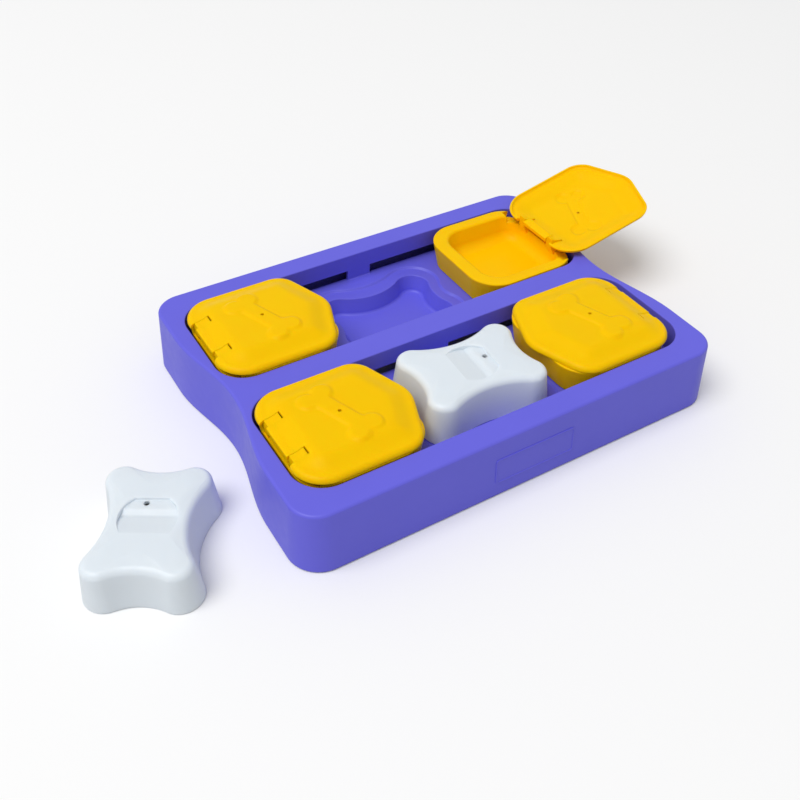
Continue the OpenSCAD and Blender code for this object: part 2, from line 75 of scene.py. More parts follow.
camera_data = bpy.data.cameras.new("camera")
camera_data.lens = FOCAL_MM
camera_data.sensor_width = 36.0
camera = bpy.data.objects.new("camera", camera_data)
bpy.context.scene.collection.objects.link(camera)
back = CAMERA_RIGHT.cross(CAMERA_UP)
turn = Matrix((CAMERA_RIGHT, CAMERA_UP, back)).transposed()
camera.matrix_world = Matrix.Translation(CAMERA_AT) @ turn.to_4x4()
bpy.context.scene.camera = camera
print("camera height above the floor in mm:", round(CAMERA_AT.z * 1000))

# %% [markdown]
# Colours are written as sRGB hex values, as they're read from a picture. The shader works in linear
# light, so one function turns them. Another small function adds a node with its settings and its links,
# so that each material below reads as a list of what the plastic does.

# %% Colour and node helpers
MM = 0.001


def linear(hex_value):
    channels = [int(hex_value[i:i + 2], 16) / 255 for i in (1, 3, 5)]
    return tuple(c / 12.92 if c <= 0.04045 else ((c + 0.055) / 1.055) ** 2.4 for c in channels) + (1.0,)


def add(tree, kind, settings=None, **inputs):
    node = tree.nodes.new(kind)
    for name, value in (settings or {}).items():
        setattr(node, name, value)
    for name, value in inputs.items():
        socket = next(s for s in node.inputs if s.enabled and s.name == name.replace("_", " "))
        if isinstance(value, bpy.types.NodeSocket):
            tree.links.new(value, socket)
        else:
            socket.default_value = value
    return node


print("yellow in linear light:", [round(c, 3) for c in linear("#ffc900")])

# %% [markdown]
# Every shell of the toy is moulded polypropylene (PP) against a finely spark-eroded steel mould. To the
# eye that means a satin shine, with soft highlights, a faint pebble grain under a millimetre wide and a
# colour that drifts very slightly where the melt flowed. The real grain is about 0.3 mm, finer than a
# pixel, so it's drawn at 0.9 mm to show at all. Handling leaves patches some 7 mm wide that shine a little
# more or less. PP lets a little light in, more so when it's pale, which the subsurface values give.

# %% Moulded plastic
GRAIN = 0.9 * MM
FLOW = 45 * MM
HANDLING = 7 * MM
SHINE_DRIFT = 0.035


def moulded_polypropylene(name, face_hex, flow_hex, roughness, gloss, grain_depth, glow, glow_reach,
                          glow_depth):
    material = bpy.data.materials.new(name)
    material.use_nodes = True
    tree = material.node_tree
    shader = tree.nodes["Principled BSDF"]
    place = add(tree, "ShaderNodeTexCoord").outputs["Object"]
    flow = add(tree, "ShaderNodeTexNoise", Vector=place, Scale=1 / FLOW, Detail=3.0, Roughness=0.55)
    tone = add(tree, "ShaderNodeMix", {"data_type": "RGBA"}, Factor=flow.outputs["Fac"],
               A=linear(face_hex), B=linear(flow_hex))
    tree.links.new(next(o for o in tone.outputs if o.enabled), shader.inputs["Base Color"])
    rub = add(tree, "ShaderNodeTexNoise", Vector=place, Scale=1 / HANDLING, Detail=4.0)
    shine = add(tree, "ShaderNodeMapRange", Value=rub.outputs["Fac"], From_Min=0.3, From_Max=0.7,
                To_Min=roughness - SHINE_DRIFT, To_Max=roughness + SHINE_DRIFT)
    tree.links.new(shine.outputs["Result"], shader.inputs["Roughness"])
    grain = add(tree, "ShaderNodeTexNoise", Vector=place, Scale=1 / GRAIN, Detail=2.0)
    bump = add(tree, "ShaderNodeBump", Height=grain.outputs["Fac"], Strength=0.5, Distance=grain_depth)
    tree.links.new(bump.outputs["Normal"], shader.inputs["Normal"])
    shader.inputs["IOR"].default_value = 1.49
    shader.inputs["Specular IOR Level"].default_value = gloss
    shader.inputs["Subsurface Weight"].default_value = glow
    shader.inputs["Subsurface Radius"].default_value = glow_reach
    shader.inputs["Subsurface Scale"].default_value = glow_depth
    return material


purple_plastic = moulded_polypropylene(
    "satin_moulded_polypropylene_purple", "#6a67e4", "#6562dc", roughness=0.40, gloss=0.35,
    grain_depth=0.05 * MM, glow=0.0, glow_reach=(1.0, 1.0, 1.0), glow_depth=3 * MM)
yellow_plastic = moulded_polypropylene(
    "satin_moulded_polypropylene_yellow", "#ffc900", "#ffc200", roughness=0.38, gloss=0.06,
    grain_depth=0.04 * MM, glow=0.4, glow_reach=(1.0, 0.5, 0.05), glow_depth=3 * MM)
white_plastic = moulded_polypropylene(
    "satin_moulded_polypropylene_white", "#e6eff7", "#e1eaf3", roughness=0.38, gloss=0.4,
    grain_depth=0.04 * MM, glow=0.6, glow_reach=(1.0, 0.95, 0.9), glow_depth=5 * MM)
print("moulded plastics:", purple_plastic.name, yellow_plastic.name, white_plastic.name)

# %% [markdown]
# The feet are moulded synthetic rubber. Rubber drinks light: it's nearly black, has no clear highlight and
# shows a dusty, slightly uneven skin, with specks of about 2 mm.

# %% Rubber
black_rubber = bpy.data.materials.new("matt_moulded_rubber_black")
black_rubber.use_nodes = True
rubber_tree = black_rubber.node_tree
rubber = rubber_tree.nodes["Principled BSDF"]
rubber_place = add(rubber_tree, "ShaderNodeTexCoord").outputs["Object"]
dust = add(rubber_tree, "ShaderNodeTexNoise", Vector=rubber_place, Scale=1 / (2 * MM), Detail=5.0)
rubber_tone = add(rubber_tree, "ShaderNodeMix", {"data_type": "RGBA"}, Factor=dust.outputs["Fac"],
                  A=linear("#1d1d1f"), B=linear("#343437"))
rubber_tree.links.new(next(o for o in rubber_tone.outputs if o.enabled), rubber.inputs["Base Color"])
rubber_bump = add(rubber_tree, "ShaderNodeBump", Height=dust.outputs["Fac"], Strength=0.4,
                  Distance=0.05 * MM)
rubber_tree.links.new(rubber_bump.outputs["Normal"], rubber.inputs["Normal"])
rubber.inputs["Roughness"].default_value = 0.82
rubber.inputs["IOR"].default_value = 1.52
print("rubber:", black_rubber.name)

# %% [markdown]
# ## How the shells are modelled
# Nearly every piece here is a stack of outlines: a round rectangle, a four-lobed bone or a waisted tray
# that gets a little narrower or rounder with each step up. By hand that's one flat face which is extruded
# again and again, and each new outline is pulled to its size. A subdivision surface would round the
# forms too, but it would drift away from the solids, and these pieces have to slide and swing in them.
# So the outlines are worked out as arcs, and the extrusions follow them.


# %% Outlines
CORNER_STEPS = 24


def arc(cx, cy, r, a0, a1, n):
    angles = [math.radians(a0 + (a1 - a0) * i / n) for i in range(n + 1)]
    return [(cx + r * math.cos(a), cy + r * math.sin(a)) for a in angles]


def round_rect(x0, x1, w, r):
    corners = ((x1 - r, w - r), (x0 + r, w - r), (x0 + r, r - w), (x1 - r, r - w))
    return [point for i, (x, y) in enumerate(corners)
            for point in arc(x, y, r, 90 * i, 90 * i + 90, CORNER_STEPS)]


def circle(r, n=64):
    return arc(0, 0, r, 0, 360, n)[:-1]


def between(low, high, t):
    return [(a[0] + (b[0] - a[0]) * t, a[1] + (b[1] - a[1]) * t) for a, b in zip(low, high)]


print("points in a round rectangle:", len(round_rect(0, 60, 40, 12)))

# %% [markdown]
# The bone outline has four round lobes, joined by hollow arcs that touch them. Its two radii follow from
# how far the sides and the ends are drawn in, so the same function draws the bone blocks, their seats in
# the lanes and the treat wells.


# %% Bone outline
def hollow_r(c, d, r, w):
    return (c * c + (w - d) ** 2 - r * r) / (2 * (r - w + d))


def bone_ring(a, b, r, nip_a, nip_b):
    cx, cy = a - r, b - r
    side_r = hollow_r(cx, cy, r, b - nip_b)
    side_y = b - nip_b + side_r
    end_r = hollow_r(cy, cx, r, a - nip_a)
    end_x = a - nip_a + end_r
    t0 = math.degrees(math.atan2(-cy, end_x - cx))
    t1 = math.degrees(math.atan2(side_y - cy, -cx))
    lobe = arc(cx, cy, r, t0, t1, 30)
    side = arc(0, side_y, side_r, t1 + 180, 540 - t1 - 180, 20)[1:-1]
    other = [(-x, y) for x, y in reversed(lobe)]
    end = arc(-end_x, 0, end_r, -t0, t0, 14)[1:-1]
    half = lobe + side + other + end
    return half + [(-x, -y) for x, y in half]


print("points in a bone:", len(bone_ring(46.5, 35.5, 14.2, 4.9, 8)))

# %% [markdown]
# An operator acts on all that is selected, so each step first selects just the pieces it means. The
# heart of the modelling is `pull_to`: it walks round the selected outline, finds the point that belongs
# to the new outline's first one, and moves each point to its new place.


# %% Selecting and pulling
def only(*pieces):
    if bpy.context.mode != "OBJECT":
        bpy.ops.object.mode_set(mode="OBJECT")
    bpy.ops.object.select_all(action="DESELECT")
    for piece in pieces:
        piece.select_set(True)
    bpy.context.view_layer.objects.active = pieces[0] if pieces else None


def pull_to(piece, ring, z, start):
    """Moves the selected outline to ring, in millimetres, at one height z or at one for each point."""
    mesh = bmesh.from_edit_mesh(piece.data)
    faces = [f for f in mesh.faces if f.select]
    if faces:
        points = list(faces[0].verts)
    else:
        edge = next(e for e in mesh.edges if e.select)
        points = [edge.verts[0], edge.verts[1]]
        while True:
            nxt = [e.other_vert(points[-1]) for e in points[-1].link_edges if e.select]
            nxt = [v for v in nxt if v not in (points[-2], points[0])]
            if not nxt:
                break
            points.append(nxt[0])
    area = sum(a.co.x * b.co.y - b.co.x * a.co.y for a, b in zip(points, points[1:] + points[:1]))
    if area < 0:
        points.reverse()
    first = min(range(len(points)), key=lambda i: (points[i].co - start).length)
    points = points[first:] + points[:first]
    heights = z if isinstance(z, list) else [z] * len(ring)
    for point, (x, y), up in zip(points, ring, heights):
        point.co = (x * MM, y * MM, up * MM)
    bmesh.update_edit_mesh(piece.data)


print("an outline is pulled with:", pull_to.__name__)

# %% [markdown]
# A shell is then a flat circle that is extruded once for each level and pulled to its outline. Left open,
# it's a ring of edges that can be led round a thin wall and closed on itself.


# %% Shells
def shell(name, levels, closed=True):
    """Extrudes one outline up through all the levels, each a ring and its height in millimetres."""
    only()
    ring, z = levels[0]
    bpy.ops.mesh.primitive_circle_add(vertices=len(ring), radius=0.05,
                                      fill_type="NGON" if closed else "NOTHING")
    piece = bpy.context.object
    piece.name = piece.data.name = name
    bpy.ops.object.mode_set(mode="EDIT")
    bpy.ops.mesh.select_mode(type="FACE" if closed else "EDGE")
    bpy.ops.mesh.select_all(action="SELECT")
    pull_to(piece, ring, z, Vector((0.05, 0, 0)))
    for higher, up in levels[1:]:
        bpy.ops.mesh.extrude_region_move()
        first = z[0] if isinstance(z, list) else z
        pull_to(piece, higher, up, Vector((ring[0][0] * MM, ring[0][1] * MM, first * MM)))
        ring, z = higher, up
    if closed:
        bpy.ops.mesh.select_all(action="SELECT")
        bpy.ops.mesh.normals_make_consistent(inside=False)
    bpy.ops.object.mode_set(mode="OBJECT")
    return piece


print("a shell is made with:", shell.__name__)

# %% [markdown]
# Small straight features, such as lugs, pins and the tools that cut slots, start as cubes and cylinders.
# Their places are applied to their meshes at once, because every finished piece keeps its place there.


# %% Blocks and rods
def block(name, low, high):
    """A cube with its two far corners given in millimetres."""
    only()
    bpy.ops.mesh.primitive_cube_add(size=1.0, location=[(a + b) / 2 * MM for a, b in zip(low, high)],
                                    scale=[(b - a) * MM for a, b in zip(low, high)])
    piece = bpy.context.object
    piece.name = piece.data.name = name
    bpy.ops.object.transform_apply(location=True, rotation=True, scale=True)
    return piece


def rod(name, r, start, length, axis="Z", n=48):
    """A cylinder of radius r that runs from start along an axis, in millimetres."""
    only()
    turn = {"Z": (0, 0, 0), "Y": (math.radians(-90), 0, 0)}[axis]
    middle = [start[0], start[1], start[2] + length / 2] if axis == "Z" else \
             [start[0], start[1] + length / 2, start[2]]
    bpy.ops.mesh.primitive_cylinder_add(vertices=n, radius=r * MM, depth=length * MM, rotation=turn,
                                        location=[c * MM for c in middle])
    piece = bpy.context.object
    piece.name = piece.data.name = name
    bpy.ops.object.transform_apply(location=True, rotation=True, scale=True)
    return piece


print("straight features are made with:", block.__name__, "and", rod.__name__)

# %% [markdown]
# Pieces are cut, joined, moved and copied with these. The exact solver is used for each boolean, since the
# tools often share a plane with what they cut.


# %% Cutting, joining and copying
def slice_off(piece, point, normal):
    """Cuts away what lies on the normal's side of a plane and closes the cut."""
    only(piece)
    bpy.ops.object.mode_set(mode="EDIT")
    bpy.ops.mesh.select_all(action="SELECT")
    bpy.ops.mesh.bisect(plane_co=[c * MM for c in point], plane_no=normal, use_fill=True, clear_outer=True)
    bpy.ops.object.mode_set(mode="OBJECT")
    return piece


def combine(piece, tool, how="DIFFERENCE"):
    """Cuts the tool out of the piece, or joins it to it, and removes the tool."""
    only(piece)
    modifier = piece.modifiers.new("combine", "BOOLEAN")
    modifier.operation, modifier.object, modifier.solver = how, tool, "EXACT"
    bpy.ops.object.modifier_apply(modifier=modifier.name)
    bpy.data.objects.remove(tool, do_unlink=True)
    return piece


def together(name, parts):
    """Joins separate parts that don't touch into one object."""
    only(*parts)
    bpy.ops.object.join()
    joined = bpy.context.object
    joined.name = joined.data.name = name
    return joined


def shifted(piece, x=0.0, y=0.0, z=0.0, turn=0.0):
    """Turns a piece about the upright axis and moves it, with its place kept in its mesh."""
    only(piece)
    piece.rotation_euler = (0, 0, math.radians(turn))
    piece.location = (x * MM, y * MM, z * MM)
    bpy.ops.object.transform_apply(location=True, rotation=True, scale=True)
    return piece


def twin(piece, name):
    only(piece)
    bpy.ops.object.duplicate(linked=False)
    copy = bpy.context.object
    copy.name = copy.data.name = name
    return copy


print("cuts and joins are made with:", combine.__name__)

# %% [markdown]
# Each shape is finished the same way. Doubled points are merged, faces are turned outwards, and edges
# flatter than 32 degrees are shaded soft. Weighted normals keep the large flat faces flat beside their
# small rounds. The open edges are counted, because a moulded piece has none.


# %% Finish
SOFT_BELOW = 32


def smooth(piece, material):
    """Merges doubled points, points the faces outwards and shades soft edges soft."""
    only(piece)
    bpy.ops.object.mode_set(mode="EDIT")
    bpy.ops.mesh.select_all(action="SELECT")
    bpy.ops.mesh.remove_doubles(threshold=1e-6)
    bpy.ops.mesh.normals_make_consistent(inside=False)
    bpy.ops.object.mode_set(mode="OBJECT")
    piece.data.materials.clear()
    piece.data.materials.append(material)
    bpy.ops.object.shade_smooth_by_angle(angle=math.radians(SOFT_BELOW))
    weighted = piece.modifiers.new("flat faces stay flat", "WEIGHTED_NORMAL")
    weighted.keep_sharp = True
    bpy.ops.object.modifier_apply(modifier=weighted.name)
    open_edges = bmesh.new()
    open_edges.from_mesh(piece.data)
    loose = sum(1 for e in open_edges.edges if len(e.link_faces) != 2)
    open_edges.free()
    print(piece.name, "faces:", len(piece.data.polygons), "open edges:", loose)
    return piece


# %% [markdown]
# ## The tray
# The tray is one shell, moulded from above: outer wall, flat rim, two lanes and two bone-shaped wells, all
# about 2.6 mm thick and open underneath. Its short ends have a waist, and the outer wall leans out
# towards the floor so that it leaves the mould. The sizes below are the solid's own, in millimetres.

# %% Tray sizes
TRAY_TOP, TRAY_FOOT, TRAY_WALL, BASE_ROUND = 47.0, 0.8, 2.6, 0.6
HALF_L, HALF_W, TRAY_CORNER, TRAY_FLARE = 160.0, 120.0, 19.0, 3.0
WAIST_DEPTH, WAIST_L = 10.6, 146.0
LANE_HALF_L, LANE_HALF_W, LANE_CORNER, LANE_Y, FLOOR_Z = 148.0, 46.0, 22.0, 56.0, 25.0
SEAT_Z, WELL_Z = 23.5, 11.0


def tray_ring(g):
    a, b, r = HALF_L + g, HALF_W + g, TRAY_CORNER + g
    end = []
    for i in range(-40, 41):
        y = WAIST_L / 2 * i / 40
        end.append((a - WAIST_DEPTH * (1 + math.cos(2 * math.pi * y / WAIST_L)) / 2, y))
    half = end + arc(a - r, b - r, r, 0, 90, 24) + arc(r - a, b - r, r, 90, 180, 24)
    return half + [(-x, -y) for x, y in half]


def lane_ring(g):
    return round_rect(-LANE_HALF_L - g, LANE_HALF_L + g, LANE_HALF_W + g, LANE_CORNER + g)


def quarter(steps):
    """The angles of a quarter round."""
    return [math.radians(90 * i / steps) for i in range(steps + 1)]


print("tray in mm:", 2 * HALF_L, "by", 2 * HALF_W, "by", TRAY_TOP)

# %% [markdown]
# The outer body is extruded in one go. Its foot has a small round, and the rim's edge is rolled over
# with a 2 mm radius, because that's the edge that catches the light in the picture.

# %% Tray body
EDGE = 2.0
body_levels = [(tray_ring(TRAY_FLARE + BASE_ROUND * (math.sin(a) - 1)),
                TRAY_FOOT + BASE_ROUND * (1 - math.cos(a))) for a in quarter(4)]
lean = TRAY_FLARE * EDGE / TRAY_TOP
body_levels += [(tray_ring(lean * (1 - math.sin(a)) - EDGE * (1 - math.cos(a))),
                 TRAY_TOP - EDGE + EDGE * math.sin(a)) for a in quarter(8)]
tray = shell("tray_shell", body_levels)
print("tray body points:", len(tray.data.vertices))

# %% [markdown]
# A lane is cut out with a tool of the same kind. The tool has a round at its floor and flares out over the
# rim, so that the cut leaves both edges soft. Cutting with a shaped tool is surer than bevelling the
# edges afterwards, because a bevel would have to run round corners that the cut has just made.

# %% Lanes
LANE_FILLET, RIM_FILLET, OVERSHOOT = 1.0, 0.8, 2.0


def lane_tool(y):
    levels = [(lane_ring(LANE_FILLET * (math.sin(a) - 1)), FLOOR_Z + LANE_FILLET * (1 - math.cos(a)))
              for a in quarter(4)]
    levels += [(lane_ring(RIM_FILLET * (1 - math.cos(a))), TRAY_TOP + RIM_FILLET * (math.sin(a) - 1))
               for a in quarter(6)]
    levels.append((levels[-1][0], TRAY_TOP + OVERSHOOT))
    return shifted(shell("lane_tool", levels), y=y)


for lane in (-LANE_Y, LANE_Y):
    combine(tray, lane_tool(lane))
print("tray with lanes:", len(tray.data.polygons), "faces")

# %% [markdown]
# In the middle of each lane lies a bone-shaped well. Round it the lane floor steps down 1.5 mm over a soft
# lip: the seat that the bone block stands in. The well's walls lean in by 3.5 mm and end in a generous
# fillet, so that a tongue can clean it.

# %% Seats and wells
SEAT_LIP, WELL_LEAN, WELL_FILLET, WELL_EDGE = 2.2, 3.5, 3.0, 0.9


def seat_ring(g):
    return bone_ring(52.0 + g, 39.0 + g, 20.0 + g, 4.5, 7.8)


def well_ring(g):
    return bone_ring(44.6 + g, 30.8 + g, 13.0 + 0.8 * g, 3.6, 10.0)


def seat_tool(y):
    steps = [i / 8 for i in range(9)]
    levels = [(seat_ring(SEAT_LIP * t), SEAT_Z + (FLOOR_Z - SEAT_Z) * t * t * (3 - 2 * t)) for t in steps]
    levels.append((seat_ring(SEAT_LIP + 0.02), FLOOR_Z + 0.8))
    return shifted(shell("seat_tool", levels), y=y)


def well_tool(y, wall=0.0):
    levels = [(well_ring(wall - WELL_LEAN - WELL_FILLET * (1 - math.sin(a))),
               WELL_Z - wall + WELL_FILLET * (1 - math.cos(a))) for a in quarter(8)]
    if wall:
        levels.append((well_ring(wall), SEAT_Z + 0.5))
    else:
        levels += [(well_ring(-0.3 + WELL_EDGE * (1 - math.cos(a))), SEAT_Z - WELL_EDGE * (1 - math.sin(a)))
                   for a in quarter(5)]
        levels.append((well_ring(0.6), SEAT_Z + 0.6))
    return shifted(shell("well_tool", levels), y=y)


for lane in (-LANE_Y, LANE_Y):
    combine(tray, seat_tool(lane))
    combine(tray, well_tool(lane))
print("well floor in mm above the floor:", WELL_Z)

# %% [markdown]
# Underneath, everything between the outer wall and the lanes is empty. A form of the whole inside is made
# first, the lanes, wells, foot bosses and three ribs of the divider are taken out of it with their wall
# thickness added, and what is left is cut from the tray.

# %% Hollow underside
FOOT_X, FOOT_Y, FOOT_R, STEM_R, BOSS_R = 141.0, 101.0, 7.0, 3.5, 9.5
FOOT_SEAT, STEM_TIP = TRAY_FOOT + 2, TRAY_FOOT + 8
RIB_X, RIB_HALF, DIVIDER_HALF = (-74, 0, 74), 1.0, 10.0
ABOVE = 60.0
corners = [(x, y) for x in (-FOOT_X, FOOT_X) for y in (-FOOT_Y, FOOT_Y)]

inside = shell("inside", [(tray_ring(TRAY_FLARE - TRAY_WALL), 0.3),
                          (tray_ring(-TRAY_WALL), TRAY_TOP - TRAY_WALL)])
for lane in (-LANE_Y, LANE_Y):
    lane_skin = shell("lane_skin", [(lane_ring(TRAY_WALL), z) for z in (FLOOR_Z - TRAY_WALL, ABOVE)])
    combine(inside, shifted(lane_skin, y=lane))
    combine(inside, well_tool(lane, TRAY_WALL))
combine(inside, together("bosses", [rod("boss", BOSS_R, (x, y, TRAY_FOOT), ABOVE) for x, y in corners]))
combine(inside, together("ribs", [block("rib", (x - RIB_HALF, -DIVIDER_HALF, FLOOR_Z - TRAY_WALL),
                                        (x + RIB_HALF, DIVIDER_HALF, ABOVE)) for x in RIB_X]))
combine(tray, inside)
for x, y in corners:
    socket = shell("socket", [(circle(FOOT_R, 48), -1), (circle(FOOT_R, 48), FOOT_SEAT),
                              (circle(STEM_R, 48), FOOT_SEAT), (circle(STEM_R, 48), STEM_TIP)])
    combine(tray, shifted(socket, x, y))
print("hollow tray:", len(tray.data.polygons), "faces")

# %% [markdown]
# Low in both long walls of each lane run guide slots. A lug on each side of a box reaches through them
# from inside, so that a dog can push the boxes but not lift them out.

# %% Guide slots
SLOT_IN, SLOT_END, SLOT_H, SLOT_BEFORE, SLOT_BEHIND = 9.7, 90.9, 8.5, 1.5, 0.6
slots = []
for lane in (-LANE_Y, LANE_Y):
    for side in (-1, 1):
        for end in (-1, 1):
            xs = sorted((end * SLOT_IN, end * SLOT_END))
            ys = sorted((lane + side * (LANE_HALF_W - SLOT_BEFORE),
                         lane + side * (LANE_HALF_W + TRAY_WALL + SLOT_BEHIND)))
            slots.append(block("slot", (xs[0], ys[0], FLOOR_Z - 0.01), (xs[1], ys[1], FLOOR_Z + SLOT_H)))
combine(tray, together("slots", slots))
print("guide slots:", len(slots))

# %% [markdown]
# On the front wall is a bare panel: a low frame with round corners and an empty field, moulded in one with
# the wall. It's made flat, from a cube with bevelled corners whose top is inset and pushed down, and then
# it's stood up against the leaning wall.

# %% Bare panel
PANEL_W, PANEL_H, PANEL_MID_X, PANEL_MID_Z, PANEL_CORNER = 62.0, 20.0, 3.8, 21.5, 2.5
WALL_LEAN = math.atan2(TRAY_FLARE * (1 - EDGE / TRAY_TOP), TRAY_TOP - EDGE - TRAY_FOOT)
panel = block("panel", (-PANEL_W / 2, -PANEL_H / 2, -0.8), (PANEL_W / 2, PANEL_H / 2, 0.45))
only(panel)
bpy.ops.object.mode_set(mode="EDIT")
bpy.ops.mesh.select_mode(type="EDGE")
bpy.ops.mesh.select_all(action="DESELECT")
panel_mesh = bmesh.from_edit_mesh(panel.data)
for edge in panel_mesh.edges:
    edge.select_set(abs(edge.verts[0].co.z - edge.verts[1].co.z) > 0.5 * MM)
bmesh.update_edit_mesh(panel.data)
bpy.ops.mesh.bevel(offset=PANEL_CORNER * MM, segments=8)
bpy.ops.mesh.select_mode(type="FACE")
bpy.ops.mesh.select_all(action="DESELECT")
panel_mesh = bmesh.from_edit_mesh(panel.data)
for face in panel_mesh.faces:
    face.select_set(face.normal.z > 0.9)
bmesh.update_edit_mesh(panel.data)
bpy.ops.mesh.inset(thickness=0.2 * MM, depth=0.15 * MM)
bpy.ops.mesh.inset(thickness=0.7 * MM)
bpy.ops.mesh.inset(thickness=0.25 * MM, depth=-0.4 * MM)
bpy.ops.object.mode_set(mode="OBJECT")
panel.rotation_euler = (math.radians(90) - WALL_LEAN, 0, 0)
wall_y = -(HALF_W + TRAY_FLARE * (TRAY_TOP - PANEL_MID_Z) / TRAY_TOP)
panel.location = (PANEL_MID_X * MM, wall_y * MM, PANEL_MID_Z * MM)
bpy.ops.object.transform_apply(location=True, rotation=True, scale=True)
combine(tray, panel, "UNION")
smooth(tray, purple_plastic)
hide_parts("tray")
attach(tray, "base")

# %% [markdown]
# ## The feet
# Under each corner sits a rubber foot: a round pad with a soft edge, and a stem that is pressed into a
# boss of the tray. One foot is turned up from circles and the other three are copies of it.

# %% Feet
foot_levels = [(circle(FOOT_R - 1 + math.sin(a)), 0.8 - 0.8 * math.cos(a)) for a in quarter(6)]
foot_levels += [(circle(FOOT_R), FOOT_SEAT), (circle(STEM_R), FOOT_SEAT),
                (circle(STEM_R), STEM_TIP - 1), (circle(STEM_R - 1), STEM_TIP)]
foot = smooth(shell("foot", foot_levels), black_rubber)
for (x, y), place in zip(corners, ("front_left", "back_left", "front_right", "back_right")):
    rubber_foot = shifted(twin(foot, "rubber_foot_" + place), x, y)
    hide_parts("foot_" + place)
    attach(rubber_foot, "base")
bpy.data.objects.remove(foot, do_unlink=True)

# %% [markdown]
# ## A sliding box
# A box is one stack of outlines that goes up its outside, over the flat rim and down into the bowl. The
# wall at its inner end leans back 4 mm, the rim is 6 mm wide at the hinge and 10 to 12 mm elsewhere, with a
# rounded inner edge, and the bowl ends in a 9 mm fillet. It's drawn at the right-hand end of a lane and
# copied for the other three.

# %% Box sizes
BOX_IN, BOX_OUT, BOX_W, BOX_Z, BOX_CORNER = 56.5, 145.5, 44.8, 25.4, 24.0
AXIS_X, AXIS_Z = 139.0, 50.1
BOX_LEAN, BOX_DRAFT, BOX_WALL = 4.0, 1.5, 2.4
RIM_IN, RIM_OUT, RIM_SIDE, RIM_ROUND = 12.0, 6.0, 10.0, 2.4
BOWL_Z, BOWL_FILLET, BOWL_CORNER, BOWL_LEAN = 27.8, 9.0, 16.0, 2.0


def foot_of_box(d):
    inset = BOX_DRAFT + d
    return round_rect(BOX_IN + BOX_LEAN + d, BOX_OUT - inset, BOX_W - inset, BOX_CORNER - inset)


def rim_of_box(d):
    return round_rect(BOX_IN + d, BOX_OUT - d, BOX_W - d, BOX_CORNER - d)


def bowl(d):
    return round_rect(BOX_IN + RIM_IN + 1.4 * d, BOX_OUT - RIM_OUT - d, BOX_W - RIM_SIDE - d, BOWL_CORNER - d)


print("box in mm:", BOX_OUT - BOX_IN, "by", 2 * BOX_W, "by", round(TRAY_TOP - BOX_Z, 1))

# %% Box body
box_levels = [(foot_of_box(0.6 * (1 - math.sin(a))), BOX_Z + 0.6 * (1 - math.cos(a))) for a in quarter(4)]
box_levels += [(rim_of_box(1 - math.cos(a)), TRAY_TOP - 1 + math.sin(a)) for a in quarter(6)]
box_levels += [(bowl(-RIM_ROUND * (1 - math.sin(a))), TRAY_TOP - RIM_ROUND * (1 - math.cos(a)))
               for a in quarter(8)]
box_levels += [(bowl(BOWL_LEAN + BOWL_FILLET * (1 - math.cos(a))), BOWL_Z + BOWL_FILLET * (1 - math.sin(a)))
               for a in quarter(12)]
box = shell("box", box_levels)
print("box body:", len(box.data.polygons), "faces")

# %% [markdown]
# At the outer end the wall is cut down to a shelf, which leaves room for the lid's edge to swing. Two lugs
# stand out below, one in each guide slot, and the underside is hollowed to an even wall.

# %% Shelf, lugs and hollow
SHELF_X, SHELF_Z, SHELF_W, BEYOND = 130.5, 41.6, 39.7, 160.0
LUG_IN, LUG_OUT, LUG_ROOT, LUG_TIP, LUG_H = 77.5, 90.5, 42.1, 48.2, 7.7
combine(box, block("shelf_cut", (SHELF_X, -SHELF_W, SHELF_Z), (BEYOND, SHELF_W, ABOVE)))
for side in (-1, 1):
    ys = sorted((side * LUG_ROOT, side * LUG_TIP))
    combine(box, block("lug", (LUG_IN, ys[0], BOX_Z), (LUG_OUT, ys[1], BOX_Z + LUG_H)), "UNION")
skirt = BOX_DRAFT + BOX_WALL
skirt_in = round_rect(BOX_IN + BOX_LEAN + BOX_WALL, BOX_OUT - skirt, BOX_W - skirt, BOX_CORNER - skirt)
bowl_out = round_rect(BOX_IN + RIM_IN - BOX_WALL, BOX_OUT - RIM_OUT + BOX_WALL, BOX_W - RIM_SIDE + BOX_WALL,
                      BOWL_CORNER + BOX_WALL)
channel = shell("channel", [(skirt_in, BOX_Z - 0.5), (skirt_in, SHELF_Z - BOX_WALL)])
bowl_core = shell("bowl_core", [(bowl_out, BOX_Z - 1), (bowl_out, ABOVE)])
combine(channel, bowl_core)
combine(box, channel)
print("box with lugs:", len(box.data.polygons), "faces")

# %% [markdown]
# Two ears rise from the shelf. Their tops follow the lid's own curve, so that they fill the slots in it
# when it's shut, and each has a pin that points to the middle. An ear is a flat side view that is
# extruded to its width and then stood up. Its top is the lower one of two curves: the lid's skin, and the
# circle that clears the slot's end when the lid swings.

# %% Hinge ears
EAR_X, EAR_L, EAR_Y, EAR_W = 134.0, 9.5, 17.5, 6.4
LID_Z, LID_ROUND, LID_CROWN, CROWN_SPAN = 47.3, 4.0, 4.0, 15.5
LID_OUT, LID_CORNER, LID_SHOULDER, NOSE_X, NOSE_R, NOSE_LEAN = 146.6, 21.5, 17.0, 50.5, 23.0, 20
LID_WALL, SLOT_X, EAR_SWEEP, EAR_SUNK = 1.8, 133.0, 6.06, 0.15
PIN_R, PIN_REACH, PIN_ROOT = 1.0, 3.4, 1.0


def lid_rise(d):
    if d < LID_ROUND:
        return math.sqrt(LID_ROUND ** 2 - (LID_ROUND - d) ** 2)
    return LID_ROUND + LID_CROWN * (1 - math.cos(math.pi * min(1, (d - LID_ROUND) / CROWN_SPAN))) / 2


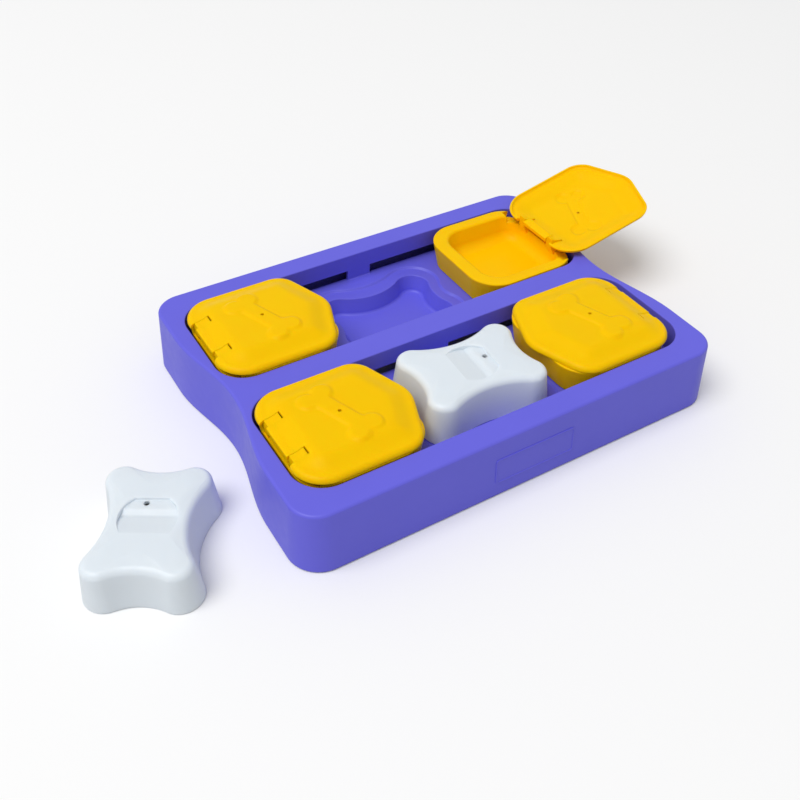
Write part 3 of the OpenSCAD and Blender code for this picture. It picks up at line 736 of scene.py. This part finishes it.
ear_side = [(BOX_OUT - BOX_DRAFT, SHELF_Z - 1), (BOX_OUT - BOX_DRAFT, LID_Z + 1), (EAR_X + EAR_L, LID_Z + 2)]
for i in range(17):
    x = EAR_X + EAR_L * (1 - i / 16)
    ear_side.append((x, min(LID_Z + lid_rise(LID_OUT - x) - EAR_SUNK,
                            AXIS_Z + math.sqrt(max(0, EAR_SWEEP ** 2 - (x - AXIS_X) ** 2)))))
ear_side += [(EAR_X, TRAY_TOP - 1), (BOX_OUT - 7, SHELF_Z - 4), (BOX_OUT - 5, SHELF_Z - 5)]
ear_face = EAR_Y - EAR_W / 2
for side in (-1, 1):
    ear = shell("ear", [(ear_side, -EAR_W / 2), (ear_side, EAR_W / 2)])
    ear.rotation_euler = (math.radians(90), 0, 0)
    ear.location = (0, side * EAR_Y * MM, 0)
    only(ear)
    bpy.ops.object.transform_apply(location=True, rotation=True, scale=True)
    combine(box, ear, "UNION")
    pin_y = min(side * (ear_face - PIN_REACH), side * (ear_face + PIN_ROOT))
    combine(box, rod("pin", PIN_R, (AXIS_X, pin_y, AXIS_Z), PIN_REACH + PIN_ROOT, "Y", 32), "UNION")
smooth(box, yellow_plastic)

# %% [markdown]
# ## The flip lid
# The lid is the piece that needs the most care. It's a thin dome with a round nose, a raised bone in its
# crown and a hollow of that bone underneath. A bone that is cut out and joined on top would leave a hard
# seam, and a Solidify modifier folds over itself where the dome turns sharply. So outside and inside are
# one stack of outlines of 224 points each: up over the dome, in to the scent hole, and back out along the
# underside. Each point's height is worked out from its distance to the bone.

# %% Lid outline
BOX_MID = 101.5
TURN = math.radians(21)
LOBE_R, LOBE_X, LOBE_Y, BAR_W, BAR_ROUND, RELIEF_H = 8.0, 6.0, 21.0, 7.0, 3.0, 1.4
NECK, NECK_FILL, FOOT_OF_SLOPE, SLOPE_W = 3.0, 0.75, 0.6, 3.2


def line(p, q, n):
    """The first n of the n + 1 evenly spaced points from p to q."""
    return [(p[0] + (q[0] - p[0]) * i / n, p[1] + (q[1] - p[1]) * i / n) for i in range(n)]


def lid_ring(d):
    """The lid's outline, drawn in by d: round hinge corners, two slanted edges and a round nose."""
    r, w, nr, sr = LID_CORNER - d, BOX_W - d, max(NOSE_R - d, 4.0), max(LID_SHOULDER - d, 4.0)
    lean = 180 - NOSE_LEAN
    cos, sin = math.cos(math.radians(lean)), math.sin(math.radians(lean))
    edge = (NOSE_X + NOSE_R) * cos + NOSE_R - d
    nx, cx = (edge - nr) / cos, (edge - sr - (w - sr) * sin) / cos
    corner = arc(LID_OUT - d - r, w - r, r, 0, 90, 24)
    shoulder = arc(cx, w - sr, sr, 90, lean, 18)
    nose = arc(nx, 0, nr, lean, 180, 10)
    upper = corner[:-1] + line(corner[-1], shoulder[0], 28) + shoulder[:-1]
    half = upper + line(shoulder[-1], nose[0], 16) + nose
    mirrored = [(x, -y) for x, y in reversed(half[:-1])]
    return half + mirrored[:-1] + line(mirrored[-1], half[0], 32)


def bone_height(x, y, inset):
    """0 outside the raised bone, 1 on it, and a soft slope between."""
    u = (x - BOX_MID) * math.cos(TURN) + y * math.sin(TURN)
    v = -(x - BOX_MID) * math.sin(TURN) + y * math.cos(TURN)
    lobe = math.hypot(abs(u) - LOBE_X, abs(v) - LOBE_Y) - LOBE_R
    bar = math.hypot(max(abs(u) - BAR_W + BAR_ROUND, 0), max(abs(v) - LOBE_Y, 0)) - BAR_ROUND
    blend = max(0.0, 1 - abs(lobe - bar) / NECK)
    distance = min(lobe, bar) - NECK_FILL * blend * blend + inset
    t = min(1, max(0, (FOOT_OF_SLOPE - distance) / SLOPE_W))
    return t * t * (3 - 2 * t)


print("points in a lid outline:", len(lid_ring(0)))

# %% Lid skin, outside and inside
CROWN_IN = LID_ROUND + CROWN_SPAN
CREASE, SCENT_R, RELIEF_INSET = 0.35, 1.2, 1.2
ROUND_IN = LID_ROUND - LID_WALL


def skin(levels, inset):
    """Turns rings with their heights above the lid's edge into levels that follow the raised bone."""
    top = max(rise for ring, rise in levels)
    return [(ring, [LID_Z + rise + (top + RELIEF_H - rise) * bone_height(x, y, inset) for x, y in ring])
            for ring, rise in levels]


slope = [LID_ROUND + CROWN_SPAN * i / 22 for i in range(1, 23)]
flat = lid_ring(CROWN_IN)
hole = []
for x, y in flat:
    reach = math.hypot(x - BOX_MID, y)
    hole.append((BOX_MID + SCENT_R * (x - BOX_MID) / reach, SCENT_R * y / reach))
crown = [between(hole, flat, 1 - i / 44) for i in range(1, 45)]
outside = [(lid_ring(CREASE * (1 - math.sin(a))), CREASE * (1 - math.cos(a))) for a in quarter(3)]
outside += [(lid_ring(LID_ROUND * (1 - math.cos(a))), max(LID_ROUND * math.sin(a), CREASE + 0.05 * i))
            for i, a in enumerate(quarter(12)) if i]
outside += [(lid_ring(d), lid_rise(d)) for d in slope]
outside += [(ring, LID_ROUND + LID_CROWN) for ring in crown]
inside_skin = [(lid_ring(LID_WALL + ROUND_IN * (1 - math.cos(a))), ROUND_IN * math.sin(a))
               for a in quarter(8)]
inside_skin += [(lid_ring(d), lid_rise(d) - LID_WALL) for d in slope]
inside_skin += [(ring, LID_ROUND + LID_CROWN - LID_WALL) for ring in crown]
lid_levels = skin(outside, 0.0) + list(reversed(skin(inside_skin, RELIEF_INSET)))
lid_levels.append(lid_levels[0])
lid = shell("lid", lid_levels, closed=False)
only(lid)
bpy.ops.object.mode_set(mode="EDIT")
bpy.ops.mesh.select_all(action="SELECT")
bpy.ops.mesh.remove_doubles(threshold=1e-6)
bpy.ops.mesh.normals_make_consistent(inside=False)
bpy.ops.object.mode_set(mode="OBJECT")
print("lid skin:", len(lid.data.polygons), "faces, highest point in mm:",
      round(max(v.co.z for v in lid.data.vertices) / MM, 2))

# %% [markdown]
# The hinge side of the lid gets a barrel between the ears, with a bore at each end for the pins, two slots
# that the ears stand in, and an edge that steps back 1.6 mm between them. The step, the ears' tops and the
# thin gaps round them are what shows of the hinge when the lid is shut.

# %% Lid hinge
BARREL_R, BORE_R, BORE_REACH, SLOT_HALF = 2.1, 1.08, 3.8, EAR_W / 2 + 0.15
STEP_X, WEB_H = LID_OUT - 1.6, 2.6
barrel = rod("barrel", BARREL_R, (AXIS_X, -EAR_Y, AXIS_Z), 2 * EAR_Y, "Y", 48)
slice_off(barrel, (AXIS_X, 0, LID_Z + lid_rise(LID_OUT - AXIS_X) - 0.3), (0, 0, 1))
combine(lid, barrel, "UNION")
combine(lid, block("web", (AXIS_X + 1, -EAR_Y, LID_Z), (STEP_X, EAR_Y, LID_Z + WEB_H)), "UNION")
combine(lid, block("step", (STEP_X, -EAR_Y, LID_Z - 2), (BEYOND, EAR_Y, ABOVE)))
for side in (-1, 1):
    slot_y = side * EAR_Y
    combine(lid, block("slot", (SLOT_X, slot_y - SLOT_HALF, LID_Z - 2), (BEYOND, slot_y + SLOT_HALF, ABOVE)))
    bore_y = min(side * (ear_face - BORE_REACH), side * ear_face)
    combine(lid, rod("bore", BORE_R, (AXIS_X, bore_y, AXIS_Z), BORE_REACH, "Y", 32))
smooth(lid, yellow_plastic)

# %% [markdown]
# Now the box and its lid are copied to the four places. The left-hand ones are turned half round, and the
# front right pair is pushed in by 5.5 mm, as in the picture. The back right lid is first swung open about
# its own pin, by the 167 degrees at which it comes to lie over the rim.

# %% Place the compartments
OPEN = 167
places = {"front_left": (0, -LANE_Y, 180), "back_left": (0, LANE_Y, 180),
          "front_right": (-5.5, -LANE_Y, 0), "back_right": (0, LANE_Y, 0)}
for place, (x, y, turn_by) in places.items():
    this_box = shifted(twin(box, "treat_box_" + place), x, y, 0, turn_by)
    this_lid = twin(lid, "flip_lid_" + place)
    if place == "back_right":
        pivot = Vector((AXIS_X * MM, 0, AXIS_Z * MM))
        swing = Matrix.Translation(pivot) @ Matrix.Rotation(math.radians(OPEN), 4, "Y")
        this_lid.matrix_world = swing @ Matrix.Translation(-pivot)
        only(this_lid)
        bpy.ops.object.transform_apply(location=True, rotation=True, scale=True)
    this_lid = shifted(this_lid, x, y, 0, turn_by)
    for piece, kind in ((this_box, "box"), (this_lid, "lid")):
        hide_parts(kind + "_" + place)
        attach(piece, kind + "_" + place)
for pattern in (box, lid):
    bpy.data.objects.remove(pattern, do_unlink=True)
print("compartments:", len(places))

# %% [markdown]
# ## The bone blocks
# A bone block is a hollow cap with four lobes. Its walls lean in, the top edge is rolled over with a 5 mm
# radius and the top is very slightly crowned. The stack starts under the ceiling, goes down the inside,
# round the bottom edge and up the outside, so inside and outside are one closed skin.

# %% Bone body
BONE_H, BONE_DRAFT, BONE_ROUND, BONE_WALL = 30.7, 3.0, 5.0, 2.4
BONE_EDGE, BONE_CROWN, CROWN_REACH, CEILING_ROUND = 0.8, 0.8, 9.0, 3.8
SHOULDER = BONE_H - BONE_ROUND - BONE_CROWN


def block_ring(d):
    return bone_ring(46.5 - d, 35.5 - d, 14.2 - min(d, 6), 4.9, 8.0)


bone_levels = [(block_ring(BONE_DRAFT + BONE_WALL + BONE_ROUND * (1 - math.cos(a))),
                SHOULDER - BONE_WALL / 2 + CEILING_ROUND * math.sin(a)) for a in reversed(quarter(6))]
bone_levels.append((block_ring(BONE_WALL), 0.0))
bone_levels += [(block_ring(BONE_EDGE * (1 - math.sin(a))), BONE_EDGE * (1 - math.cos(a)))
                for a in quarter(4)]
bone_levels += [(block_ring(BONE_DRAFT + BONE_ROUND * (1 - math.cos(a))), SHOULDER + BONE_ROUND * math.sin(a))
                for a in quarter(12)]
bone_levels += [(block_ring(BONE_DRAFT + BONE_ROUND + CROWN_REACH * i / 6),
                 SHOULDER + BONE_ROUND + BONE_CROWN * math.sin(math.pi / 2 * i / 6)) for i in range(1, 7)]
bone = shell("bone", bone_levels)
print("bone body:", len(bone.data.polygons), "faces")

# %% [markdown]
# In its top is a finger pocket: a round dent with a narrow ledge on its far side, a step down to 4 mm and
# a ramp that rises to the near side. Its side view is drawn once, extruded across the bone, and what it
# shares with a cylinder is the tool. The cylinder flares out at the top, which gives the soft edge. A
# thicker tool of the same kind is joined on first, as the pocket's own wall under the surface.

# %% Finger pocket
POCKET_R, POCKET_DEPTH, POCKET_LEDGE, POCKET_SOFT = 17.5, 4.0, 1.8, 1.2
POCKET_FAR, POCKET_STEP, POCKET_SLOPE, POCKET_NEAR = 14.5, 3.5, 4.0, 12.5
SCENT_HOLE_R, SCENT_HOLE_SIDE, SCENT_HOLE_EDGE = 1.8, 3.0, 0.8


def soften(points, r):
    """Replaces each corner of a side view by a short curve that starts and ends r from it."""
    soft = []
    for i, corner in enumerate(points):
        ends = []
        for other in (points[i - 1], points[(i + 1) % len(points)]):
            reach = min(r / math.dist(corner, other), 0.45)
            ends.append([c + (o - c) * reach for c, o in zip(corner, other)])
        for t in (0, 0.25, 0.5, 0.75, 1):
            soft.append(tuple((1 - t) ** 2 * p + 2 * t * (1 - t) * c + t * t * q
                              for p, c, q in zip(ends[0], corner, ends[1])))
    return soft


def pocket_side(wall, flare):
    """The side view: ramp, step and ledge, with the wall's thickness added."""
    low, ledge, high = BONE_H - POCKET_DEPTH - wall, BONE_H - POCKET_LEDGE - wall, BONE_H + 6
    return [(-POCKET_NEAR - wall - 6 * flare, high), (-POCKET_NEAR - wall, BONE_H - wall), (POCKET_STEP, low),
            (POCKET_STEP + POCKET_SLOPE, ledge), (POCKET_FAR + wall, ledge),
            (POCKET_FAR + wall + 0.3 * flare, high)]


def pocket_tool(name, wall, top, flare):
    levels = [(circle(POCKET_R + wall, 96), BONE_H - POCKET_DEPTH - wall - 0.5)]
    if flare:
        levels += [(circle(POCKET_R + flare * (1 - math.cos(a)), 96),
                    BONE_H - 0.1 + flare * (math.sin(a) - 1)) for a in quarter(5)]
    levels.append((circle(POCKET_R + wall + flare, 96), top))
    side = pocket_side(wall, flare)
    if flare:
        side = soften(side, POCKET_SOFT)
    across = shell("pocket_side", [(side, -25), (side, 25)])
    across.rotation_euler = (math.radians(90), 0, 0)
    only(across)
    bpy.ops.object.transform_apply(location=True, rotation=True, scale=True)
    return combine(shell(name, levels), across, "INTERSECT")


combine(bone, pocket_tool("pocket_wall", BONE_WALL, BONE_H - 1, 0), "UNION")
combine(bone, pocket_tool("pocket", 0.0, BONE_H + 1, 1.0))
hole_x = POCKET_FAR - SCENT_HOLE_R - SCENT_HOLE_EDGE
combine(bone, rod("scent_hole", SCENT_HOLE_R, (hole_x, SCENT_HOLE_SIDE, 0), 40, "Z", 48))
smooth(bone, white_plastic)

# %% [markdown]
# One bone stands on its seat in the front lane, turned by a few degrees as a hand leaves it. The other lies
# on the floor in front of the tray's left end.

# %% Place the bones
bones = {"bone_seated": (-3.0, -55.7, 23.6, -3.5), "bone_loose": (-228.5, -55.0, 0.0, 58.8)}
for node, (x, y, z, turn_by) in bones.items():
    block_copy = shifted(twin(bone, node.replace("bone", "bone_block")), x, y, z, turn_by)
    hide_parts(node)
    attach(block_copy, node)
bpy.data.objects.remove(bone, do_unlink=True)
print("bone blocks:", len(bones))

# %% [markdown]
# ## Floor and light
# The toy stands on a plain white floor. The light is that of a small studio: an even dome, which reaches
# into the bowls and wells, and one large soft lamp above that gives the faint shadow and the quiet
# highlights on the rolled edges. Together they light a level surface to about the value that its colour
# is written with. The floor is white to the camera, but throws back a little less light than that, so the
# outer walls keep their shade.

# %% Floor
only()
bpy.ops.mesh.primitive_plane_add(size=6.0, location=(0, 0, 0))
floor = bpy.context.object
floor.name = "studio_floor"
floor_material = bpy.data.materials.new("matt_white_floor")
floor_material.use_nodes = True
floor_tree = floor_material.node_tree
floor_shader = floor_tree.nodes["Principled BSDF"]
seen = add(floor_tree, "ShaderNodeLightPath").outputs["Is Camera Ray"]
floor_tone = add(floor_tree, "ShaderNodeMix", {"data_type": "RGBA"}, Factor=seen,
                 A=linear("#dcdcdc"), B=linear("#fafafa"))
floor_tree.links.new(next(o for o in floor_tone.outputs if o.enabled), floor_shader.inputs["Base Color"])
floor_shader.inputs["Roughness"].default_value = 0.9
floor_shader.inputs["Specular IOR Level"].default_value = 0.1
floor.data.materials.append(floor_material)
print("floor:", floor_material.name)

# %% Lamps
world = bpy.data.worlds.new("studio_dome")
bpy.context.scene.world = world
world.use_nodes = True
world.node_tree.nodes["Background"].inputs["Color"].default_value = (1, 1, 1, 1)
world.node_tree.nodes["Background"].inputs["Strength"].default_value = 0.5

LAMP_AT = Vector((-2.9, -0.2, 6.0))
lamp_data = bpy.data.lights.new("key", "AREA")
lamp_data.shape, lamp_data.size, lamp_data.energy = "DISK", 4.5, 270
lamp = bpy.data.objects.new("key", lamp_data)
bpy.context.scene.collection.objects.link(lamp)
lamp.location = LAMP_AT
lamp.rotation_euler = (-LAMP_AT).to_track_quat("-Z", "Y").to_euler()
bpy.context.scene.view_settings.view_transform = "Standard"
